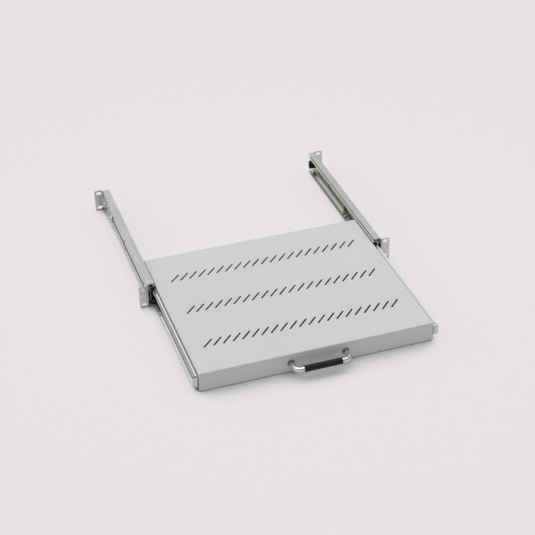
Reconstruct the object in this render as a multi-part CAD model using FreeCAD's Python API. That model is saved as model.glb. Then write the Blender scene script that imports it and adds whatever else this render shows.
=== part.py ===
"""Pull-out shelf for a 19-inch rack, with the tray drawn out on its ball slides.

Millimetres. X runs to the right, Y into the rack and Z up. The origin is the centre of the front
rack holes, on the plane where the front ears meet the rack.
"""
import FreeCAD, Part
import math
import os

os.makedirs("parts", exist_ok=True)
V = FreeCAD.Vector
X, Y, Z = V(1, 0, 0), V(0, 1, 0), V(0, 0, 1)

# Rack interface
ear_span = 482.6
rack_hole_edge = 8.75
rack_hole_pitch_z = 31.75
rack_slot_length = 10.0
rack_slot_width = 7.0

# Brackets: U-channels with front ears
ear_width = 16.6
ear_margin = 2.475
ear_corner = 2.5
ear_relief = 3.0
bracket_sheet = 1.5
bracket_flange = 13.2
bracket_tail = 4.5
bend_radius = 1.0
pad_height = 3.0
pad_wall = 1.0
adjust_slot_front = 18.0

# Rear brackets: angles clamped through the long slots
rear_ear_stand_off = 3.0
arm_length = 86.0
arm_height = 20.0
arm_taper = 8.0
arm_gap = 0.1
arm_window_width = 5.6
arm_window_margin = 5.0
rear_bolt_inset = 7.5
rear_bolt_ear_gap = 21.0
bolt_diameter = 5.0
bolt_slot_gap = 0.3
bolt_head_diameter = 10.0
bolt_head_height = 2.4
bolt_socket = 3.0
bolt_slot_end_gap = 0.25
strip_height = 8.5
strip_overhang = 5.0
strip_slide_gap = 0.2
strip_pad_gap = 0.5

# Tray
tray_top = 15.1
tray_sheet = 1.2
tray_tail = 14.2
front_height = 36.6
side_lift = 7.2
back_height = 20.0
hem_depth = 12.0
corner_slit = 0.8
tray_bend = 0.5
tray_pad_height = 0.5
tray_pad_gap = 0.7

# Vents in the tray
vent_width = 3.2
vent_length = 27.6
vent_angle = 45.0
vent_pitch = 17.0
vent_row_pitch = 104.0
vent_rows = 3
vent_side_margin = 27.0

# Ball slides
slide_length = 350.0
slide_overlap = 81.5
slide_height = 35.0
slide_sheet = 1.2
slide_front = 4.0
slide_floor_gap = 1.85
race_radius = 0.8
race_angle = 28.0
race_reach = 3.8
inner_setback = 3.5
slide_tab_setback = 0.5
slide_tab_trim = 0.8
slide_tab_edge = 0.8
slide_tab_corner = 1.5
ball_diameter = 4.76
ball_gap = 0.1
ball_pitch = 13.0
ball_columns = 12
ball_pocket_gap = 0.12
cage_sheet = 0.8
cage_gap = 0.3
cage_end_margin = 8.0
cage_edge = 1.2
cage_slot_height = 15.0
cage_slot_margin = 14.0
cage_slot_corner = 2.0
stop_length = 12.0
stop_clearance = 0.4
stop_wall_gap = 0.15
stop_screw_clearance = 1.1
bumper_length = 7.0
bumper_gap = 2.2
bumper_inset = 0.4
end_gap = 0.3
peg_diameter = 4.0
web_slot_length = 12.0
web_slot_width = 5.0

# Rivets of the outer members
rivet_diameter = 3.2
rivet_head_diameter = 6.4
rivet_tail_diameter = 5.6
rivet_tail_height = 1.0
rivet_tail_gap = 0.4
rivet_inset = 25.0
rivet_columns = 3

# Screws, nuts and washers
screw_diameter = 4.0
screw_hole_gap = 0.2
screw_head_diameter = 7.5
screw_head_height = 2.2
screw_recess_length = 2.6
screw_recess_width = 0.9
screw_recess_depth = 1.0
screw_tip = 0.8
thread_gap = 0.05
inner_screw_inset = 30.0
inner_screw_count = 4
hexagon_sides = 6
nut_across_flats = 7.0
nut_height = 3.2
nut_chamfer_angle = 30.0
washer_diameter = 9.0
washer_sheet = 0.8

# Handle
handle_centres = 97.5
handle_reach = 23.0
handle_rod = 9.0
handle_bend = 10.0
handle_screw_diameter = 3.5
handle_thread_depth = 10.0
grip_end_margin = 5.0
grip_wall = 1.1
grip_bore_gap = 0.1
grip_end_round = 0.8
collar_diameter = 13.0
collar_rim_diameter = 11.4
collar_length = 3.0
collar_bore_gap = 0.05

# How far cutters run past the faces they go through
overshoot = 1.0

# Places across the rack, on the right-hand side, from the ear inwards
ear_out = ear_span / 2
rack_hole_x = ear_out - rack_hole_edge
web_out = ear_out - ear_width
web_in = web_out - bracket_sheet
web_middle = (web_in + web_out) / 2
flange_in = web_out - bracket_flange
arm_in = web_out + arm_gap
arm_out = arm_in + bracket_sheet
arm_middle = (arm_in + arm_out) / 2
slide_back = web_in - pad_height
strip_out = web_in - arm_gap
strip_in = slide_back + strip_slide_gap
outer_web_in = slide_back - slide_sheet
inner_lip_out = outer_web_in - 2 * cage_gap - cage_sheet
ball_x = inner_lip_out - race_reach
outer_lip_in = ball_x - race_reach
inner_web_out = outer_lip_in + slide_sheet / 2
inner_web_in = inner_web_out - slide_sheet
tray_side = inner_web_in - tray_pad_height

# Heights
bracket_height = rack_hole_pitch_z + rack_slot_width + 2 * ear_margin
bracket_top = bracket_height / 2
slide_z = -bracket_top + bracket_sheet + slide_floor_gap + slide_height / 2
race_lean = math.radians(race_angle)
race_slant = slide_sheet / 2 / math.cos(race_lean)
ball_seat = (ball_diameter / 2 + ball_gap) / math.cos(race_lean)
outer_race = slide_height / 2 - race_slant
ball_height = outer_race - race_slant - ball_seat
inner_race = ball_height - ball_seat - race_slant
pad_recess_radius = rivet_tail_diameter / 2 + rivet_tail_gap
pad_radius = pad_recess_radius + pad_wall
pad_z = strip_height / 2 + strip_pad_gap + pad_radius
tray_bottom = tray_top - front_height
side_bottom = tray_bottom + side_lift
tray_recess_radius = nut_across_flats / 2 / math.cos(math.pi / hexagon_sides) + tray_pad_gap
tray_pad_radius = tray_recess_radius + tray_sheet
handle_z = (tray_top + tray_bottom) / 2

# Places along the rack, with the tray pulled out
pull_out = slide_length - slide_overlap
channel_front = bend_radius + ear_relief
slide_rear = slide_front + slide_length
bracket_rear = slide_rear + bracket_tail
stop_rear = slide_front + stop_length
bumper_front = slide_rear - bumper_length
tray_front = -bracket_sheet - pull_out
inner_front = tray_front + inner_setback
inner_rear = bumper_front - end_gap - pull_out
tray_back = inner_rear + tray_tail
cage_front = stop_rear + end_gap
cage_length = 2 * cage_end_margin + (ball_columns - 1) * ball_pitch
mount_depth = bracket_rear + rear_ear_stand_off
arm_front = mount_depth - arm_length
rear_bolts_y = [arm_front + rear_bolt_inset, mount_depth - rear_bolt_ear_gap]
adjust_slot_rear = rear_bolts_y[1] + bolt_diameter / 2 + bolt_slot_end_gap
adjust_slot_width = bolt_diameter + 2 * bolt_slot_gap
grip_length = handle_centres - 2 * (handle_bend + grip_end_margin)


def spread(first, last, count):
    """Evenly spaced places from first to last."""
    return [first + (last - first) * i / (count - 1) for i in range(count)]


rivet_columns_y = spread(slide_front + rivet_inset, slide_rear - rivet_inset, rivet_columns)
inner_screws_y = spread(inner_front + inner_screw_inset, inner_rear - inner_screw_inset, inner_screw_count)
web_slots_y = [(a + b) / 2 for a, b in zip(rivet_columns_y, rivet_columns_y[1:])]
stop_peg_y = (slide_front + stop_rear) / 2
bumper_peg_y = (bumper_front + slide_rear) / 2


def box(x0, x1, y0, y1, z0, z1):
    """A box between two corners."""
    return Part.makeBox(x1 - x0, y1 - y0, z1 - z0, V(x0, y0, z0))


def rod(start, end, diameter):
    """A cylinder from one point to another."""
    return Part.makeCylinder(diameter / 2, (end - start).Length, start, end - start)


def drill(start, end, diameter):
    """A round cutter that runs past both ends of a hole."""
    past = (end - start).normalize() * overshoot
    return rod(start - past, end + past, diameter)


def slot(centre, along, through, length, width, sheet):
    """A round-ended cutter for a sheet, with its long way and the way it goes through."""
    depth = sheet + 2 * overshoot
    side = through.cross(along) * (width / 2)
    reach = along * ((length - width) / 2)
    tip = along * (length / 2)
    low = centre - through * (depth / 2)
    outline = [
        Part.LineSegment(low - reach + side, low + reach + side),
        Part.Arc(low + reach + side, low + tip, low + reach - side),
        Part.LineSegment(low + reach - side, low - reach - side),
        Part.Arc(low - reach - side, low - tip, low - reach + side),
    ]
    wire = Part.Wire([piece.toShape() for piece in outline])
    return Part.Face(wire).extrude(through * depth)


def hexagon(centre, across, up, flats):
    """A flat hexagon with its corners along across, measured over its flats."""
    corner = flats / 2 / math.cos(math.pi / hexagon_sides)
    turns = [2 * math.pi * i / hexagon_sides for i in range(hexagon_sides + 1)]
    ring = [centre + across * (corner * math.cos(t)) + up * (corner * math.sin(t)) for t in turns]
    return Part.Face(Part.makePolygon(ring))


def rounded_line(points, radii):
    """Edges through the points, with an arc at each inner point."""
    edges = []
    start = points[0]
    for before, corner, after, radius in zip(points, points[1:], points[2:], radii):
        to_before = (before - corner).normalize()
        to_after = (after - corner).normalize()
        half_turn = to_before.getAngle(to_after) / 2
        first = corner + to_before * (radius / math.tan(half_turn))
        last = corner + to_after * (radius / math.tan(half_turn))
        inward = (to_before + to_after).normalize()
        middle = corner + inward * (radius / math.sin(half_turn) - radius)
        edges.append(Part.LineSegment(start, first).toShape())
        edges.append(Part.Arc(first, middle, last).toShape())
        start = last
    edges.append(Part.LineSegment(start, points[-1]).toShape())
    return edges


def folded_sheet(points, thickness, bend, sweep):
    """Bent sheet: the points run along its middle, bend is the inside radius, sweep is its width."""
    up = V(sweep).normalize()
    ways = [(b - a).normalize() for a, b in zip(points, points[1:])]
    lefts = [up.cross(way) for way in ways]
    turns = [up.dot(a.cross(b)) for a, b in zip(ways, ways[1:])]
    edges = []
    tips = []
    for side in (1, -1):
        shift = side * thickness / 2
        line = [points[0] + lefts[0] * shift]
        for corner, a, b in zip(points[1:], lefts, lefts[1:]):
            line.append(corner + (a + b) * (shift / (1 + a.dot(b))))
        line.append(points[-1] + lefts[-1] * shift)
        radii = [bend if side * turn > 0 else bend + thickness for turn in turns]
        edges += rounded_line(line, radii)
        tips.append((line[0], line[-1]))
    edges += [Part.LineSegment(a, b).toShape() for a, b in zip(*tips)]
    wire = Part.Wire(Part.__sortEdges__(edges))
    return Part.Face(wire).extrude(sweep)


def near(a, b):
    """Whether two places are the same."""
    return abs(a - b) < 0.001


def edges_where(shape, test):
    """The edges whose ends and middle all pass the test."""
    found = []
    for edge in shape.Edges:
        middle = edge.valueAt((edge.FirstParameter + edge.LastParameter) / 2)
        if all(test(point) for point in [v.Point for v in edge.Vertexes] + [middle]):
            found.append(edge)
    return found


def round_corners(solid, end_x, sheet, radius):
    """Rounds the two corners of a folded sheet that lie at its end across the rack."""
    outer = edges_where(solid, lambda p: near(p.x, end_x))
    corners = [edge for edge in outer if near(edge.Length, sheet)]
    return solid.makeFillet(radius, corners)


def rack_slots(ear_middle_y):
    """Cutters for the two rack holes of one ear."""
    return [
        slot(V(rack_hole_x, ear_middle_y, z), X, Y, rack_slot_length, rack_slot_width, bracket_sheet)
        for z in (-rack_hole_pitch_z / 2, rack_hole_pitch_z / 2)
    ]


def rivet_places():
    """Middles of the rivets, on the back of the outer member."""
    return [V(slide_back, y, z) for y in rivet_columns_y for z in (-pad_z, pad_z)]


def bracket():
    """U-channel with the front ear, the pads for the slide and the long adjusting slot."""
    fold = bracket_top - bracket_sheet / 2
    channel = folded_sheet(
        [V(flange_in, channel_front, fold), V(web_middle, channel_front, fold),
         V(web_middle, channel_front, -fold), V(flange_in, channel_front, -fold)],
        bracket_sheet, bend_radius, Y * (bracket_rear - channel_front))
    solid = channel.fuse(front_ear()).removeSplitter()
    for rivet in rivet_places():
        solid = solid.fuse(rod(rivet, rivet + X * (pad_height + bracket_sheet / 2), 2 * pad_radius))
    cutters = rack_slots(-bracket_sheet / 2)
    for rivet in rivet_places():
        recess_floor = rivet + X * bracket_sheet
        cutters.append(rod(recess_floor, recess_floor + X * (pad_height + overshoot), 2 * pad_recess_radius))
        cutters.append(drill(rivet, recess_floor, rivet_diameter))
    length = adjust_slot_rear - adjust_slot_front
    middle = V(web_middle, adjust_slot_front + length / 2, 0)
    cutters.append(slot(middle, Y, X, length, adjust_slot_width, bracket_sheet))
    return solid.cut(Part.makeCompound(cutters))


def front_ear():
    """The front ear and its bend, with the bend relieved where the channel's flanges begin."""
    root = channel_front + ear_relief
    ear = folded_sheet(
        [V(web_middle, root, -bracket_top), V(web_middle, -bracket_sheet / 2, -bracket_top),
         V(ear_out, -bracket_sheet / 2, -bracket_top)],
        bracket_sheet, bend_radius, Z * bracket_height)
    ear = round_corners(ear, ear_out, bracket_sheet, ear_corner)
    notch = bracket_sheet + 2 * bend_radius
    for z in (-bracket_top, bracket_top - notch):
        ear = ear.cut(box(web_in - overshoot, web_out + overshoot, bend_radius, root, z, z + notch))
    return ear


def slide_member(lip_x, web_x, race, way, front, rear):
    """A C of rolled sheet whose upper and lower walls are V-shaped races, way up or down from the balls."""
    upper = [V(x, front, race + way * abs(x - ball_x) * math.tan(race_lean)) for x in (lip_x, ball_x, web_x)]
    lower = [V(p.x, front, -p.z) for p in reversed(upper)]
    points = [p + Z * slide_z for p in upper + lower]
    return folded_sheet(points, slide_sheet, race_radius, Y * (rear - front))


def outer_slide():
    """Outer member: a C open towards the tray, with races that keep the balls in."""
    lip_x = outer_lip_in + slide_sheet / 2 * math.sin(race_lean)
    web_x = slide_back - slide_sheet / 2
    solid = slide_member(lip_x, web_x, outer_race, -1, slide_front, slide_rear)
    cutters = [rivet_cone(rivet) for rivet in rivet_places()]
    for y in web_slots_y:
        cutters.append(slot(V(web_x, y, slide_z), Y, X, web_slot_length, web_slot_width, slide_sheet))
    for y in (stop_peg_y, bumper_peg_y):
        cutters.append(drill(V(outer_web_in, y, slide_z), V(slide_back, y, slide_z), peg_diameter))
    return solid.cut(Part.makeCompound(cutters))


def rivet_cone(place):
    """The flush head of one rivet, as deep as the sheet of the outer member."""
    return Part.makeCone(rivet_diameter / 2, rivet_head_diameter / 2, slide_sheet, place, -X)


def slide_rivets():
    """Rivets with flush heads inside the slide and tails in the recesses of the web."""
    rivets = []
    for place in rivet_places():
        tail_start = place + X * bracket_sheet
        shank = rod(place, tail_start, rivet_diameter)
        tail = rod(tail_start, tail_start + X * rivet_tail_height, rivet_tail_diameter)
        rivets.append(rivet_cone(place).fuse([shank, tail]).removeSplitter())
    return Part.makeCompound(rivets)


def web_peg(y):
    """A plastic peg in the web of the outer member."""
    return rod(V(outer_web_in, y, slide_z), V(slide_back, y, slide_z), peg_diameter)


def front_stop():
    """Black guide in the mouth of the outer member, round the inner one, which also stops the cage."""
    half = inner_race - race_slant - stop_clearance
    inside = inner_web_out + screw_head_height + stop_screw_clearance
    tip_x = outer_lip_in + stop_clearance
    plate_x = inner_lip_out + stop_clearance
    rise = {x: abs(x - ball_x) * math.tan(race_lean) for x in (tip_x, ball_x, plate_x)}
    over = [(x, outer_race - race_slant - stop_wall_gap - rise[x]) for x in rise]
    under = [(x, inner_race + race_slant + stop_clearance + rise[x]) for x in reversed(rise)]
    shoulder = (outer_web_in, over[-1][1] - race_radius - stop_wall_gap)
    upper = [(inside, half), (plate_x, half)] + under + over + [shoulder]
    lower = [(x, -z) for x, z in reversed(upper)]
    ring = [V(x, slide_front, slide_z + z) for x, z in upper + lower + upper[:1]]
    guide = Part.Face(Part.makePolygon(ring)).extrude(Y * stop_length)
    return guide.fuse(web_peg(stop_peg_y)).removeSplitter()


def rear_bumper():
    """Black bumper that the inner member meets when the tray is in."""
    half = inner_race - bumper_gap
    inside = tray_side + bumper_inset
    block = box(inside, outer_web_in, bumper_front, slide_rear, slide_z - half, slide_z + half)
    block = block.makeFillet(race_radius, edges_where(block, lambda p: near(p.x, inside)))
    return block.fuse(web_peg(bumper_peg_y)).removeSplitter()


def inner_slide():
    """Inner member: a C open towards the bracket, on the pads of the tray's side, with a tab in front."""
    lip_x = inner_lip_out - slide_sheet / 2 * math.sin(race_lean)
    solid = slide_member(lip_x, outer_lip_in, inner_race, 1, inner_front, inner_rear)
    solid = solid.fuse(slide_tab()).removeSplitter()
    return solid.cut(Part.makeCompound(inner_screw_holes()))


def slide_tab():
    """The web of the inner member run on in front of its walls and bent outwards to close its end."""
    half = inner_race - slide_tab_trim
    end_x = slide_back - slide_tab_edge
    tab_y = tray_front + slide_tab_setback + slide_sheet / 2
    low = slide_z - half
    tab = folded_sheet(
        [V(outer_lip_in, inner_front + inner_setback, low), V(outer_lip_in, tab_y, low), V(end_x, tab_y, low)],
        slide_sheet, race_radius, Z * (2 * half))
    return round_corners(tab, end_x, slide_sheet, slide_tab_corner)


def inner_screw_holes():
    """Clearance holes through the inner member and the pads of the tray."""
    hole = screw_diameter + 2 * screw_hole_gap
    start = inner_web_in - tray_sheet
    return [drill(V(start, y, slide_z), V(inner_web_out, y, slide_z), hole) for y in inner_screws_y]


def pan_screw(seat, way, length, diameter):
    """A cross-head screw: its head stands on seat, and its shank runs the other way."""
    crown = seat + way * screw_head_height
    head = rod(seat, crown, screw_head_diameter)
    rim = edges_where(head, lambda p: near((p - crown).dot(way), 0))
    head = head.makeFillet(screw_head_height / 2, rim)
    across = way.cross(Z)
    floor = crown - way * screw_recess_depth
    for along, side in ((across, Z), (Z, across)):
        reach = along * (screw_recess_length / 2) + side * (screw_recess_width / 2)
        spans = zip(floor - reach, crown + reach + way * overshoot)
        edges = [end for span in spans for end in sorted(span)]
        head = head.cut(box(*edges))
    shank = rod(seat, seat - way * length, diameter)
    return head.fuse(shank).removeSplitter()


def inner_screws():
    """Screws from the hollow of the inner member into the tray."""
    length = slide_sheet + tray_sheet + nut_height + screw_tip
    seats = [V(inner_web_out, y, slide_z) for y in inner_screws_y]
    return Part.makeCompound([pan_screw(seat, X, length, screw_diameter) for seat in seats])


def hex_nut(seat, way):
    """A chamfered hexagon nut that stands on seat and is bored for the screw."""
    body = hexagon(seat, way.cross(Z), Z, nut_across_flats).extrude(way * nut_height)
    spread_out = nut_height / math.tan(math.radians(nut_chamfer_angle))
    cone = Part.makeCone(nut_across_flats / 2 + spread_out, nut_across_flats / 2, nut_height, seat, way)
    bore = drill(seat, seat + way * nut_height, screw_diameter + 2 * thread_gap)
    return body.common(cone).cut(bore)


def inner_nuts():
    """Nuts in the hollows of the tray's pads."""
    return Part.makeCompound([hex_nut(V(inner_web_in - tray_sheet, y, slide_z), -X) for y in inner_screws_y])


def ball_places():
    """Middles of the balls, in an upper and a lower row."""
    columns = [cage_front + cage_end_margin + ball_pitch * i for i in range(ball_columns)]
    return [V(ball_x, y, slide_z + z) for y in columns for z in (-ball_height, ball_height)]


def ball_cage():
    """Ball retainer: two pierced strips joined by a slotted web behind the inner member."""
    web_x = inner_lip_out + cage_gap + cage_sheet / 2
    pocket = ball_diameter + 2 * ball_pocket_gap
    edge_x = ball_x - pocket / 2 - cage_edge
    section = [(edge_x, ball_height), (web_x, ball_height), (web_x, -ball_height), (edge_x, -ball_height)]
    points = [V(x, cage_front, slide_z + z) for x, z in section]
    solid = folded_sheet(points, cage_sheet, cage_gap, Y * cage_length)
    half_sheet = Z * (cage_sheet / 2)
    cutters = [drill(place - half_sheet, place + half_sheet, pocket) for place in ball_places()]
    half = cage_slot_height / 2
    slot_rear = cage_front + cage_length - cage_slot_margin
    window = box(web_x - cage_sheet, web_x + cage_sheet, cage_front + cage_slot_margin, slot_rear,
                 slide_z - half, slide_z + half)
    corners = [edge for edge in window.Edges if near(edge.Length, 2 * cage_sheet)]
    cutters.append(window.makeFillet(cage_slot_corner, corners))
    return solid.cut(Part.makeCompound(cutters))


def balls():
    """Bearing balls, held loosely in the pockets of the cage."""
    return Part.makeCompound([Part.makeSphere(ball_diameter / 2, place) for place in ball_places()])


def rear_bracket():
    """Angle with the rear ear: its arm tapers, lies on the outside of the bracket's web and ends round."""
    ear_y = mount_depth - bracket_sheet / 2
    angle = folded_sheet(
        [V(arm_middle, arm_front, -bracket_top), V(arm_middle, ear_y, -bracket_top),
         V(ear_out, ear_y, -bracket_top)],
        bracket_sheet, bend_radius, Z * bracket_height)
    angle = round_corners(angle, ear_out, bracket_sheet, ear_corner)
    fold_start = mount_depth - bracket_sheet - bend_radius
    half = arm_height / 2
    x0 = arm_in - overshoot
    taper_front = fold_start - arm_taper
    upper = [V(x0, fold_start, bracket_top), V(x0, taper_front, half), V(x0, arm_front + half, half)]
    lower = [V(p.x, p.y, -p.z) for p in reversed(upper)]
    outline = [Part.LineSegment(a, b).toShape() for side in (upper, lower) for a, b in zip(side, side[1:])]
    outline.append(Part.Arc(upper[-1], V(x0, arm_front, 0), lower[0]).toShape())
    outline.append(Part.LineSegment(lower[-1], upper[0]).toShape())
    through = X * (bracket_sheet + 2 * overshoot)
    arm = Part.Face(Part.Wire(Part.__sortEdges__(outline))).extrude(through)
    waste = box(x0, x0 + through.x, arm_front - overshoot, fold_start, -bracket_top, bracket_top)
    angle = angle.cut(waste.cut(arm))
    cutters = rack_slots(ear_y)
    for y in rear_bolts_y:
        cutters.append(drill(V(arm_in, y, 0), V(arm_out, y, 0), bolt_diameter + 2 * screw_hole_gap))
    window_front = rear_bolts_y[0] + arm_window_margin
    window_rear = rear_bolts_y[1] - arm_window_margin
    middle = V(arm_middle, (window_front + window_rear) / 2, 0)
    cutters.append(slot(middle, Y, X, window_rear - window_front, arm_window_width, bracket_sheet))
    return angle.cut(Part.makeCompound(cutters))


def rear_bolts():
    """Socket-head bolts through the arm and the long slot, into the strip behind the web."""
    bolts = []
    for y in rear_bolts_y:
        seat = V(arm_out, y, 0)
        crown = seat + X * bolt_head_height
        head = rod(seat, crown, bolt_head_diameter)
        head = head.makeFillet(bolt_head_height / 2, edges_where(head, lambda p: near(p.x, crown.x)))
        head = head.cut(hexagon(crown, Y, Z, bolt_socket).extrude(X * (-bolt_head_height / 2)))
        shank = rod(seat, V(strip_in, y, 0), bolt_diameter)
        bolts.append(head.fuse(shank).removeSplitter())
    return Part.makeCompound(bolts)


def nut_strip():
    """Tapped strip in the gap between the web and the back of the slide."""
    front = rear_bolts_y[0] - strip_overhang
    rear = rear_bolts_y[1] + strip_overhang
    strip = box(strip_in, strip_out, front, rear, -strip_height / 2, strip_height / 2)
    hole = bolt_diameter + 2 * thread_gap
    return strip.cut(Part.makeCompound(
        [drill(V(strip_in, y, 0), V(strip_out, y, 0), hole) for y in rear_bolts_y]))


def top_rounded(solid, radius):
    """Rounds the four top edges of the tray's box."""
    top = solid.BoundBox.ZMax
    return solid.makeFillet(radius, edges_where(solid, lambda p: near(p.z, top)))


def shelf_tray():
    """Folded tray: a top with four flanges, open corners, a hem in front and rows of vents."""
    solid = tray_shell()
    hem_top = tray_bottom + tray_sheet
    hem = box(-tray_side, tray_side, tray_front, tray_front + hem_depth, tray_bottom, hem_top)
    solid = solid.fuse(hem).removeSplitter()
    outside = edges_where(solid, lambda p: near(p.y, tray_front) and near(p.z, tray_bottom))
    solid = solid.makeFillet(tray_bend + tray_sheet, outside)
    front_inside = tray_front + tray_sheet
    inside = edges_where(solid, lambda p: near(p.y, front_inside) and near(p.z, hem_top))
    solid = solid.makeFillet(tray_bend, inside)
    pads, hollows = tray_pads()
    solid = solid.fuse(pads).removeSplitter()
    right_holes = hollows + inner_screw_holes()
    left_holes = [hole.mirror(V(), X) for hole in right_holes]
    holes = vent_cutters() + right_holes + left_holes + handle_holes()
    return solid.cut(Part.makeCompound(holes))


def tray_pads():
    """Pressed pads on both sides of the tray, and cutters for the hollows behind the right-hand ones."""
    inside = V(tray_side - tray_sheet, 0, slide_z)
    face = V(inner_web_in, 0, slide_z)
    pads = []
    hollows = []
    for y in inner_screws_y:
        pad = rod(inside + Y * y, face + Y * y, 2 * tray_pad_radius)
        pads += [pad, pad.mirror(V(), X)]
        floor = face + Y * y - X * tray_sheet
        hollows.append(rod(inside + Y * y - X * overshoot, floor, 2 * tray_recess_radius))
    return pads, hollows


def tray_shell():
    """The top and its flanges, trimmed to their heights and slit at the corners."""
    side = tray_side - tray_sheet
    front_inside = tray_front + tray_sheet
    back_inside = tray_back - tray_sheet
    below = tray_bottom - overshoot
    beyond = tray_side + overshoot
    behind = tray_back + overshoot
    outer = box(-tray_side, tray_side, tray_front, tray_back, tray_bottom, tray_top)
    hollow = box(-side, side, front_inside, back_inside, below, tray_top - tray_sheet)
    solid = top_rounded(outer, tray_bend + tray_sheet).cut(top_rounded(hollow, tray_bend))
    fold_end = tray_top - tray_sheet - tray_bend
    cutters = [box(-beyond, beyond, back_inside, behind, below, tray_top - back_height)]
    for x0, x1 in ((-beyond, -side), (side, beyond)):
        cutters.append(box(x0, x1, front_inside, behind, below, side_bottom))
        for y in (front_inside, back_inside - corner_slit):
            cutters.append(box(x0, x1, y, y + corner_slit, below, fold_end))
    return solid.cut(Part.makeCompound(cutters))


def vent_cutters():
    """Slanted vents, in rows centred on the top of the tray."""
    lean = math.radians(vent_angle)
    along = V(math.cos(lean), math.sin(lean), 0)
    span = vent_length * math.cos(lean)
    count = int((2 * tray_side - 2 * vent_side_margin - span) / vent_pitch) + 1
    middle = (tray_front + tray_back) / 2
    level = tray_top - tray_sheet / 2
    vents = []
    for row in range(vent_rows):
        y = middle + (row - (vent_rows - 1) / 2) * vent_row_pitch
        for i in range(count):
            x = (i - (count - 1) / 2) * vent_pitch
            vents.append(slot(V(x, y, level), along, Z, vent_length, vent_width, tray_sheet))
    return vents


def handle_feet():
    """Where the feet of the handle meet the front of the tray."""
    return [V(x, tray_front, handle_z) for x in (-handle_centres / 2, handle_centres / 2)]


def handle_holes():
    """Clearance holes for the handle screws in the front of the tray."""
    hole = handle_screw_diameter + 2 * screw_hole_gap
    return [drill(foot, foot + Y * tray_sheet, hole) for foot in handle_feet()]


def handle_bow():
    """Round bar bent into a bow, tapped in both feet."""
    left, right = handle_feet()
    out = -Y * handle_reach
    path = Part.Wire(rounded_line([left, left + out, right + out, right], [handle_bend, handle_bend]))
    profile = Part.Wire(Part.Circle(left, Y, handle_rod / 2).toShape())
    bow = path.makePipeShell([profile], True, True)
    tap = handle_screw_diameter + 2 * thread_gap
    taps = [rod(foot, foot - Y * handle_thread_depth, tap) for foot in handle_feet()]
    return bow.cut(Part.makeCompound(taps))


def handle_grip():
    """Black sleeve on the straight of the bow."""
    bore = handle_rod + 2 * grip_bore_gap
    start = V(-grip_length / 2, tray_front - handle_reach, handle_z)
    end = start + X * grip_length
    sleeve = rod(start, end, bore + 2 * grip_wall)
    ends = edges_where(sleeve, lambda p: near(abs(p.x), grip_length / 2))
    return sleeve.makeFillet(grip_end_round, ends).cut(drill(start, end, bore))


def handle_collars():
    """Tapered collars round the feet of the handle."""
    collars = []
    for foot in handle_feet():
        collar = Part.makeCone(collar_diameter / 2, collar_rim_diameter / 2, collar_length, foot, -Y)
        rim = foot - Y * collar_length
        collars.append(collar.cut(drill(foot, rim, handle_rod + 2 * collar_bore_gap)))
    return Part.makeCompound(collars)


def handle_washers():
    """Washers behind the front of the tray."""
    washers = []
    for foot in handle_feet():
        seat = foot + Y * tray_sheet
        back = seat + Y * washer_sheet
        hole = drill(seat, back, handle_screw_diameter + 2 * screw_hole_gap)
        washers.append(rod(seat, back, washer_diameter).cut(hole))
    return Part.makeCompound(washers)


def handle_screws():
    """Screws from inside the tray into the feet of the handle."""
    stack = tray_sheet + washer_sheet
    length = stack + handle_thread_depth - screw_tip
    seats = [foot + Y * stack for foot in handle_feet()]
    return Part.makeCompound([pan_screw(seat, Y, length, handle_screw_diameter) for seat in seats])


def save(name, shape):
    """Writes one node."""
    shape.exportStep("parts/" + name + ".step")


sided = {
    "bracket": bracket,
    "outer_slide": outer_slide,
    "slide_rivets": slide_rivets,
    "front_stop": front_stop,
    "rear_bumper": rear_bumper,
    "inner_slide": inner_slide,
    "inner_screws": inner_screws,
    "inner_nuts": inner_nuts,
    "ball_cage": ball_cage,
    "balls": balls,
    "rear_bracket": rear_bracket,
    "rear_bolts": rear_bolts,
    "nut_strip": nut_strip,
}
for name, make in sided.items():
    right_hand = make()
    save("right_" + name, right_hand)
    save("left_" + name, right_hand.mirror(V(), X))

central = {
    "shelf_tray": shelf_tray,
    "handle_bow": handle_bow,
    "handle_grip": handle_grip,
    "handle_collars": handle_collars,
    "handle_washers": handle_washers,
    "handle_screws": handle_screws,
}
for name, make in central.items():
    save(name, make())
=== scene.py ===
import math

import bpy
from mathutils import Matrix, Vector


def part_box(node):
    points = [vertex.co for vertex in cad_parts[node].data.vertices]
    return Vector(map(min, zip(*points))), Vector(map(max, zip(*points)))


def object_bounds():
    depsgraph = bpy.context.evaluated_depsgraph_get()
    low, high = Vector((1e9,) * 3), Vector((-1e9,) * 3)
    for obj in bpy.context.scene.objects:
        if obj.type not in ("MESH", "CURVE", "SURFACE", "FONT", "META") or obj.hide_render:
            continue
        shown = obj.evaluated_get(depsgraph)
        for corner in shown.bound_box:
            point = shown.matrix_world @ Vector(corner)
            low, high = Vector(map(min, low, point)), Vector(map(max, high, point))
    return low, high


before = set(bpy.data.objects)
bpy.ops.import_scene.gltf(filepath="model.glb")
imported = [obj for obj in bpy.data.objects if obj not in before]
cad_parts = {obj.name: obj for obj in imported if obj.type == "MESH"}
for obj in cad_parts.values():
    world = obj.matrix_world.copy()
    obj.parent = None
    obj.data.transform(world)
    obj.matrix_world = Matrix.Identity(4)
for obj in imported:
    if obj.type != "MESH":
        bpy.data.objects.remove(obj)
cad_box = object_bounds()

# The view of the photograph: angles in degrees, lengths in metres
view_azimuth = -17.831
view_elevation = 33.419
view_roll = -1.387
view_target = Vector((0.006021, 0.016532, -0.002485))
view_distance = 2.53249
view_reach = 100.0
view_lens_mm = 92.42
sensor_mm = 36.0

# The floor that the brackets lie on, in metres, and its paper
floor_level = cad_box[0].z
floor_size = 80.0
floor_colour = (0.82, 0.79, 0.80)
floor_fibre_shade = 0.985
floor_roughness = 0.9
floor_specular = 0.2

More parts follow.
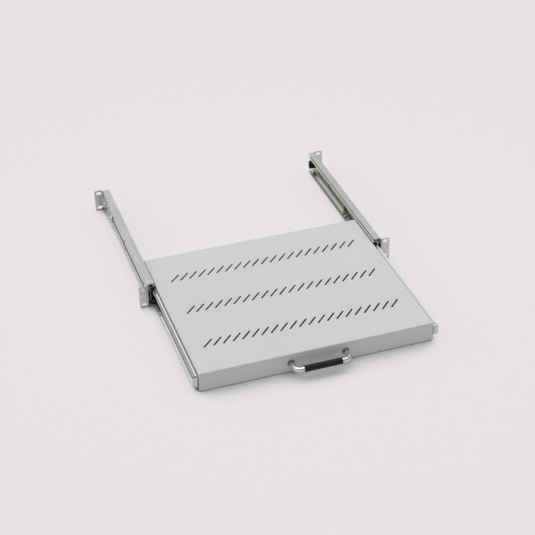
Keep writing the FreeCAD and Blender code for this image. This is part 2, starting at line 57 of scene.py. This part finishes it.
# The glow of the paper, which stays out of the shadow under the shelf and in its lee, away from the light:
# how far round a spot each looks for the shelf, and how open that must be for the glow to begin and be full.
# A curve below 1 lets the glow rise fast at the edge of the lee. Where the glow fades by these masks of
# ambient occlusion, it paints the shelf's shadow on the floor, most of all in front of it, in its lee
floor_glow = 0.74
open_reach = 0.10
open_from, open_full = 0.28, 0.48
lee_way = Vector((0.0, 0.90, 0.43)).normalized()
lee_reach = 0.25
lee_from, lee_full = 0.305, 0.66
lee_curve = 0.38

# The studio light: a sky that is brightest up, to the back and left, and two soft lamps that face the shelf,
# each with its place and size in metres and its power in watts
sky_bright_way = Vector((-0.30, 0.42, 0.86)).normalized()
sky_dark = 0.34
sky_bright = 0.88
sky_dark_until = 0.10
sky_bright_from = 0.80
lamps = {
    "overhead": (Vector((0.10, 0.10, 2.3)), 2.0, 17.0),
    "rear_left": (Vector((-0.80, 1.95, 1.35)), 1.1, 0.7),
}

# The web of the ball retainers, painted near black between its bends as the shade deep under the outer
# slides' lips, in metres
cage_low, cage_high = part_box("right_ball_cage")
slide_middle = (cage_low.z + cage_high.z) / 2
cage_bend = 0.0012
cage_web_half = (cage_high.z - cage_low.z) / 2 - cage_bend
cage_web_fade = 0.0008
cage_web_shade = 0.05

# Painted shade in the grooves of the inner slides, dark at the web, paler at the edge and none on the upper
# lip, in metres
slide_wall = 0.0012
groove_depth = 0.0034
groove_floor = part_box("right_inner_slide")[0].x + slide_wall
groove_edge = groove_floor + groove_depth
groove_shade = 0.65
groove_edge_shade = 0.86
lip_rise_from, lip_rise_full = 0.004, 0.008
lip_from = slide_middle + lip_rise_from
lip_full = slide_middle + lip_rise_full

# The usual range of a noise pattern, which colour and gloss are spread over
pattern_low = 0.3
pattern_high = 0.7

# Sockets of a Mix node by their place, because their names repeat
mix_number_a, mix_number_b, mix_number_out = 2, 3, 0
mix_colour_a, mix_colour_b, mix_colour_out = 6, 7, 2


class Finish:
    """A material under construction, with its nodes."""

    def __init__(self, name):
        self.material = bpy.data.materials.new(name)
        self.material.use_nodes = True
        self.nodes = self.material.node_tree.nodes
        self.links = self.material.node_tree.links
        self.shader = self.nodes["Principled BSDF"]

    def set(self, **values):
        """Sets sockets of the shader that are the same all over."""
        for socket, value in values.items():
            self.shader.inputs[socket.replace("_", " ")].default_value = value

    def place(self):
        """Object coordinates, in metres."""
        return self.nodes.new("ShaderNodeTexCoord").outputs["Object"]

    def along(self, axis):
        """Where the surface is along an axis, in metres."""
        parts = self.nodes.new("ShaderNodeSeparateXYZ")
        self.links.new(self.place(), parts.inputs["Vector"])
        return parts.outputs[axis]

    def noise(self, cells, stretch=(1, 1, 1), detail=3.0, roughness=0.5):
        """A noise pattern of so many cells per metre, times the stretch along each axis."""
        mapping = self.nodes.new("ShaderNodeMapping")
        mapping.inputs["Scale"].default_value = stretch
        self.links.new(self.place(), mapping.inputs["Vector"])
        texture = self.nodes.new("ShaderNodeTexNoise")
        texture.inputs["Scale"].default_value = cells
        texture.inputs["Detail"].default_value = detail
        texture.inputs["Roughness"].default_value = roughness
        self.links.new(mapping.outputs["Vector"], texture.inputs["Vector"])
        return texture.outputs["Fac"]

    def mixed(self, first, second, share):
        """Two patterns mixed, with the share of the second."""
        mix = self.nodes.new("ShaderNodeMix")
        mix.data_type = "FLOAT"
        mix.inputs["Factor"].default_value = share
        self.links.new(first, mix.inputs[mix_number_a])
        self.links.new(second, mix.inputs[mix_number_b])
        return mix.outputs[mix_number_out]

    def spread(self, pattern, from_low, from_high, low, high):
        """A pattern stretched from one range to another, and held at its ends."""
        stretch = self.nodes.new("ShaderNodeMapRange")
        stretch.inputs["From Min"].default_value = from_low
        stretch.inputs["From Max"].default_value = from_high
        stretch.inputs["To Min"].default_value = low
        stretch.inputs["To Max"].default_value = high
        self.links.new(pattern, stretch.inputs["Value"])
        return stretch.outputs["Result"]

    def joined(self, operation, first, second=0.0):
        """A pattern joined with another, or with a number, by a product or the like."""
        step = self.nodes.new("ShaderNodeMath")
        step.operation = operation
        self.links.new(first, step.inputs[0])
        if isinstance(second, float):
            step.inputs[1].default_value = second
        else:
            self.links.new(second, step.inputs[1])
        return step.outputs["Value"]

    def clearance(self, reach, way=None):
        """How open the surroundings are within a reach, straight up from the surface or round another way."""
        openness = self.nodes.new("ShaderNodeAmbientOcclusion")
        openness.inputs["Distance"].default_value = reach
        if way is not None:
            arrow = self.nodes.new("ShaderNodeCombineXYZ")
            for socket, part in zip(arrow.inputs, way):
                socket.default_value = part
            self.links.new(arrow.outputs["Vector"], openness.inputs["Normal"])
        return openness.outputs["AO"]

    def colour(self, pattern, dark, light, shade=None, low=pattern_low, high=pattern_high):
        """Colours the surface from dark to light by a pattern, times a shade where there is one."""
        ramp = self.nodes.new("ShaderNodeValToRGB")
        for stop, at, value in zip(ramp.color_ramp.elements, (low, high), (dark, light)):
            stop.position = at
            stop.color = (*value, 1)
        self.links.new(pattern, ramp.inputs["Fac"])
        colours = ramp.outputs["Color"]
        if shade is not None:
            tint = self.nodes.new("ShaderNodeMix")
            tint.data_type = "RGBA"
            tint.blend_type = "MULTIPLY"
            tint.inputs["Factor"].default_value = 1.0
            self.links.new(colours, tint.inputs[mix_colour_a])
            self.links.new(shade, tint.inputs[mix_colour_b])
            colours = tint.outputs[mix_colour_out]
        self.links.new(colours, self.shader.inputs["Base Color"])

    def gloss(self, pattern, smooth, dull):
        """Varies the roughness from smooth to dull by a pattern."""
        roughness = self.spread(pattern, pattern_low, pattern_high, smooth, dull)
        self.links.new(roughness, self.shader.inputs["Roughness"])

    def relief(self, pattern, depth, strength):
        """Gives the surface a fine relief, with depth in metres."""
        bump = self.nodes.new("ShaderNodeBump")
        bump.inputs["Strength"].default_value = strength
        bump.inputs["Distance"].default_value = depth
        self.links.new(pattern, bump.inputs["Height"])
        self.links.new(bump.outputs["Normal"], self.shader.inputs["Normal"])


def grey_powder_coat():
    """Light grey powder coat with a fine orange peel."""
    finish = Finish("grey_powder_coat")
    peel = finish.noise(cells=620, detail=2.0)
    clouds = finish.noise(cells=9, detail=4.0)
    specks = finish.noise(cells=4200, detail=1.0)
    tone = finish.mixed(clouds, specks, share=0.4)
    finish.colour(tone, dark=(0.615, 0.615, 0.61), light=(0.655, 0.655, 0.648))
    finish.gloss(clouds, smooth=0.48, dull=0.58)
    finish.relief(finish.mixed(peel, specks, share=0.25), depth=0.00006, strength=0.35)
    return finish.material


def zinc_plate():
    """Zinc-plated sheet: dull, faintly olive, with clouds, rolling lines and streaks."""
    finish = Finish("zinc_plate")
    finish.set(Metallic=1.0)
    clouds = finish.noise(cells=34, detail=5.0, roughness=0.6)
    lines = finish.noise(cells=900, stretch=(1, 0.03, 1), detail=2.0)
    streaks = finish.noise(cells=210, stretch=(1, 0.02, 1), detail=2.0)
    tone = finish.mixed(finish.mixed(clouds, lines, share=0.35), streaks, share=0.45)
    finish.colour(tone, dark=(0.505, 0.505, 0.49), light=(0.66, 0.66, 0.645), low=0.35, high=0.65)
    finish.gloss(finish.mixed(clouds, lines, share=0.5), smooth=0.22, dull=0.34)
    finish.relief(lines, depth=0.00002, strength=0.3)
    return finish.material


def slide_zinc():
    """Bright zinc on the inner slides, with lines along their length and painted shade in their grooves."""
    finish = Finish("slide_zinc")
    finish.set(Metallic=1.0)
    # Painted shade: the groove darker at the web and paler towards its edge, the upper lip unshaded
    from_middle = finish.joined("ABSOLUTE", finish.along("X"))
    groove = finish.spread(from_middle, groove_floor, groove_edge, groove_shade, groove_edge_shade)
    upper_lip = finish.spread(finish.along("Z"), lip_from, lip_full, 0.0, 1.0)
    painted_groove_shade = finish.joined("MAXIMUM", groove, upper_lip)
    lines = finish.noise(cells=1500, stretch=(1, 0.015, 1), detail=3.0)
    clouds = finish.noise(cells=28, detail=4.0)
    tone = finish.mixed(lines, clouds, share=0.5)
    finish.colour(tone, dark=(0.63, 0.63, 0.62), light=(0.73, 0.73, 0.72), shade=painted_groove_shade)
    finish.gloss(finish.mixed(lines, clouds, share=0.4), smooth=0.08, dull=0.15)
    finish.relief(lines, depth=0.00002, strength=0.25)
    return finish.material


def greased_and_shaded(finish, shade=None):
    """Zinc under a thin film of grease, in a tone darker than the brackets' zinc that paints the shade inside
    the channels, times a painted shade where one is given.
    """
    finish.set(Metallic=1.0)
    lines = finish.noise(cells=1200, stretch=(1, 0.02, 1), detail=3.0)
    film = finish.noise(cells=45, stretch=(1, 0.25, 1), detail=5.0, roughness=0.6)
    tone = finish.mixed(lines, film, share=0.6)
    # A film of grease, and a darker tone that paints the shade inside the channels
    finish.colour(tone, dark=(0.37, 0.37, 0.345), light=(0.50, 0.50, 0.475), shade=shade)
    finish.gloss(film, smooth=0.14, dull=0.30)
    finish.relief(lines, depth=0.00002, strength=0.25)
    return finish.material


def greased_and_shaded_zinc():
    """Greased zinc on the outer slides, darker as painted shade inside the channels."""
    return greased_and_shaded(Finish("greased_and_shaded_zinc"))


def retainer_zinc_painted_shade():
    """Greased zinc on the ball retainers, with the web painted near black as the shade under the outer
    slides' lips.
    """
    finish = Finish("retainer_zinc_painted_shade")
    height = finish.joined("ABSOLUTE", finish.joined("SUBTRACT", finish.along("Z"), slide_middle))
    web_end = cage_web_half - cage_web_fade
    # The web is painted dark: a painted shade for the shadow under the lips
    return greased_and_shaded(finish, finish.spread(height, web_end, cage_web_half, cage_web_shade, 1.0))


def bright_zinc():
    """Small plated fasteners, with a mottled gloss."""
    finish = Finish("bright_zinc")
    finish.set(Metallic=1.0)
    mottle = finish.noise(cells=260, detail=4.0)
    finish.colour(mottle, dark=(0.58, 0.59, 0.60), light=(0.72, 0.72, 0.71))
    finish.gloss(mottle, smooth=0.22, dull=0.38)
    finish.relief(finish.noise(cells=2600, detail=2.0), depth=0.00002, strength=0.3)
    return finish.material


def chrome():
    """Polished chrome with a trace of handling marks."""
    finish = Finish("chrome")
    finish.set(Metallic=1.0)
    smears = finish.noise(cells=120, stretch=(0.5, 1, 1), detail=4.0)
    finish.colour(smears, dark=(0.66, 0.67, 0.68), light=(0.72, 0.73, 0.74))
    finish.gloss(smears, smooth=0.05, dull=0.12)
    return finish.material


def dark_nickel():
    """Dark nickel on the collars of the handle, with fine turning lines."""
    finish = Finish("dark_nickel")
    finish.set(Metallic=1.0)
    turning = finish.noise(cells=2600, stretch=(0.05, 1, 0.05), detail=2.0)
    haze = finish.noise(cells=300, detail=3.0)
    tone = finish.mixed(turning, haze, share=0.5)
    finish.colour(tone, dark=(0.20, 0.20, 0.20), light=(0.29, 0.29, 0.285))
    finish.gloss(haze, smooth=0.16, dull=0.28)
    finish.relief(turning, depth=0.00002, strength=0.3)
    return finish.material


def black_nylon():
    """Moulded black nylon with a fine spark-eroded grain."""
    finish = Finish("black_nylon")
    finish.set(Specular_IOR_Level=0.25)
    grain = finish.noise(cells=2400, detail=2.0)
    finish.colour(grain, dark=(0.005, 0.005, 0.0055), light=(0.011, 0.011, 0.0115))
    finish.gloss(grain, smooth=0.48, dull=0.62)
    finish.relief(grain, depth=0.00003, strength=0.4)
    return finish.material


def grip_vinyl():
    """Black vinyl sleeve with a satin skin."""
    finish = Finish("grip_vinyl")
    finish.set(Specular_IOR_Level=0.22)
    grain = finish.noise(cells=1800, detail=3.0)
    clouds = finish.noise(cells=60, detail=2.0)
    finish.colour(clouds, dark=(0.007, 0.007, 0.008), light=(0.012, 0.012, 0.013))
    finish.gloss(finish.mixed(grain, clouds, share=0.4), smooth=0.42, dull=0.58)
    finish.relief(grain, depth=0.00004, strength=0.35)
    return finish.material


def ball_steel():
    """Ground and polished bearing steel."""
    finish = Finish("ball_steel")
    finish.set(Metallic=1.0)
    haze = finish.noise(cells=700, detail=2.0)
    finish.colour(haze, dark=(0.62, 0.62, 0.63), light=(0.70, 0.70, 0.70))
    finish.gloss(haze, smooth=0.08, dull=0.16)
    return finish.material


def floor_paper():
    """Pale studio paper, which the camera and reflections see partly by its glow, with the shelf's shadow
    painted where the glow fades.
    """
    finish = Finish("floor_paper")
    finish.set(Roughness=floor_roughness, Specular_IOR_Level=floor_specular)
    fibre = finish.noise(cells=40, detail=4.0)
    shaded = [floor_fibre_shade * value for value in floor_colour]
    finish.colour(fibre, dark=shaded, light=floor_colour)
    rays = finish.nodes.new("ShaderNodeLightPath")
    seen = rays.outputs["Is Camera Ray"]
    for kind in ("Is Glossy Ray", "Is Transmission Ray"):
        seen = finish.joined("MAXIMUM", seen, rays.outputs[kind])
    glow = finish.nodes.new("ShaderNodeEmission")
    glow.inputs["Color"].default_value = (*floor_colour, 1)
    finish.links.new(out_of_the_shadow(finish), glow.inputs["Strength"])
    blend = finish.nodes.new("ShaderNodeMixShader")
    finish.links.new(finish.joined("MULTIPLY", seen, floor_glow), blend.inputs[0])
    finish.links.new(finish.shader.outputs["BSDF"], blend.inputs[1])
    finish.links.new(glow.outputs["Emission"], blend.inputs[2])
    finish.links.new(blend.outputs["Shader"], finish.nodes["Material Output"].inputs["Surface"])
    return finish.material


def out_of_the_shadow(finish):
    """How far a spot of the floor is out from under the shelf and out of its lee, from 0 to 1; low values
    paint the shelf's shadow.
    """
    overhead = finish.clearance(open_reach)
    # Occlusion turned towards the back, which paints the shelf's shadow in front of it
    to_the_back = finish.clearance(lee_reach, lee_way)
    in_the_open = finish.spread(overhead, open_from, open_full, 0.0, 1.0)
    past_the_lee = finish.spread(to_the_back, lee_from, lee_full, 0.0, 1.0)
    return finish.joined("MULTIPLY", in_the_open, finish.joined("POWER", past_the_lee, lee_curve))


# Which finish each kind of node has
finish_of_kind = {
    "shelf_tray": grey_powder_coat,
    "bracket": zinc_plate,
    "rear_bracket": zinc_plate,
    "outer_slide": greased_and_shaded_zinc,
    "inner_slide": slide_zinc,
    "slide_rivets": bright_zinc,
    "inner_screws": bright_zinc,
    "inner_nuts": bright_zinc,
    "rear_bolts": bright_zinc,
    "nut_strip": bright_zinc,
    "front_stop": black_nylon,
    "rear_bumper": black_nylon,
    "ball_cage": retainer_zinc_painted_shade,
    "balls": ball_steel,
    "handle_bow": chrome,
    "handle_collars": dark_nickel,
    "handle_grip": grip_vinyl,
    "handle_washers": bright_zinc,
    "handle_screws": bright_zinc,
}


def kind_of(node):
    """What a node is, whichever side it is on."""
    return node.removeprefix("left_").removeprefix("right_")


def paint_nodes():
    """Gives every CAD node its finish."""
    finishes = {make: make() for make in dict.fromkeys(finish_of_kind.values())}
    for name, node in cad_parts.items():
        finish = finishes[finish_of_kind[kind_of(name)]]
        for slot in node.material_slots:
            slot.material = finish


def add_floor():
    """The pale floor that the shelf lies on."""
    bpy.ops.object.select_all(action="DESELECT")
    bpy.ops.mesh.primitive_plane_add(size=floor_size, location=(0, 0, floor_level))
    floor = bpy.context.object
    floor.name = "floor"
    floor.data.materials.append(floor_paper())


def add_sky():
    """Soft light from all round, brightest up, to the back and left."""
    world = bpy.data.worlds.new("studio")
    bpy.context.scene.world = world
    world.use_nodes = True
    nodes = world.node_tree.nodes
    links = world.node_tree.links
    way = nodes.new("ShaderNodeTexCoord")
    nearness = nodes.new("ShaderNodeVectorMath")
    nearness.operation = "DOT_PRODUCT"
    nearness.inputs[1].default_value = sky_bright_way
    rise = nodes.new("ShaderNodeMapRange")
    rise.interpolation_type = "SMOOTHSTEP"
    rise.inputs["From Min"].default_value = sky_dark_until
    rise.inputs["From Max"].default_value = sky_bright_from
    rise.inputs["To Min"].default_value = sky_dark
    rise.inputs["To Max"].default_value = sky_bright
    links.new(way.outputs["Generated"], nearness.inputs[0])
    links.new(nearness.outputs["Value"], rise.inputs["Value"])
    background = nodes["Background"]
    background.inputs["Color"].default_value = (1, 1, 1, 1)
    links.new(rise.outputs["Result"], background.inputs["Strength"])


def add_lamp(name, place, size, power):
    """A large soft lamp that faces the shelf."""
    light = bpy.data.lights.new(name, "AREA")
    light.size = size
    light.energy = power
    lamp = bpy.data.objects.new(name, light)
    bpy.context.collection.objects.link(lamp)
    turn = (view_target - place).to_track_quat("-Z", "Y").to_matrix().to_4x4()
    lamp.matrix_world = Matrix.Translation(place) @ turn


def add_camera():
    """The camera, at the angle of the photograph."""
    azimuth, elevation, roll = (math.radians(angle) for angle in (view_azimuth, view_elevation, view_roll))
    back = Vector((math.sin(azimuth) * math.cos(elevation), -math.cos(azimuth) * math.cos(elevation),
                   math.sin(elevation)))
    right = Vector((math.cos(azimuth), math.sin(azimuth), 0))
    up = back.cross(right)
    across = right * math.cos(roll) + up * math.sin(roll)
    upward = up * math.cos(roll) - right * math.sin(roll)
    turn = Matrix((across, upward, back)).transposed().to_4x4()
    data = bpy.data.cameras.new("view")
    data.sensor_width = sensor_mm
    data.lens = view_lens_mm
    data.clip_end = view_reach
    camera = bpy.data.objects.new("view", data)
    bpy.context.collection.objects.link(camera)
    camera.matrix_world = Matrix.Translation(view_target + back * view_distance) @ turn
    bpy.context.scene.camera = camera


paint_nodes()
add_floor()
add_sky()
for lamp_name, setting in lamps.items():
    add_lamp(lamp_name, *setting)
add_camera()
bpy.context.scene.view_settings.view_transform = "Standard"
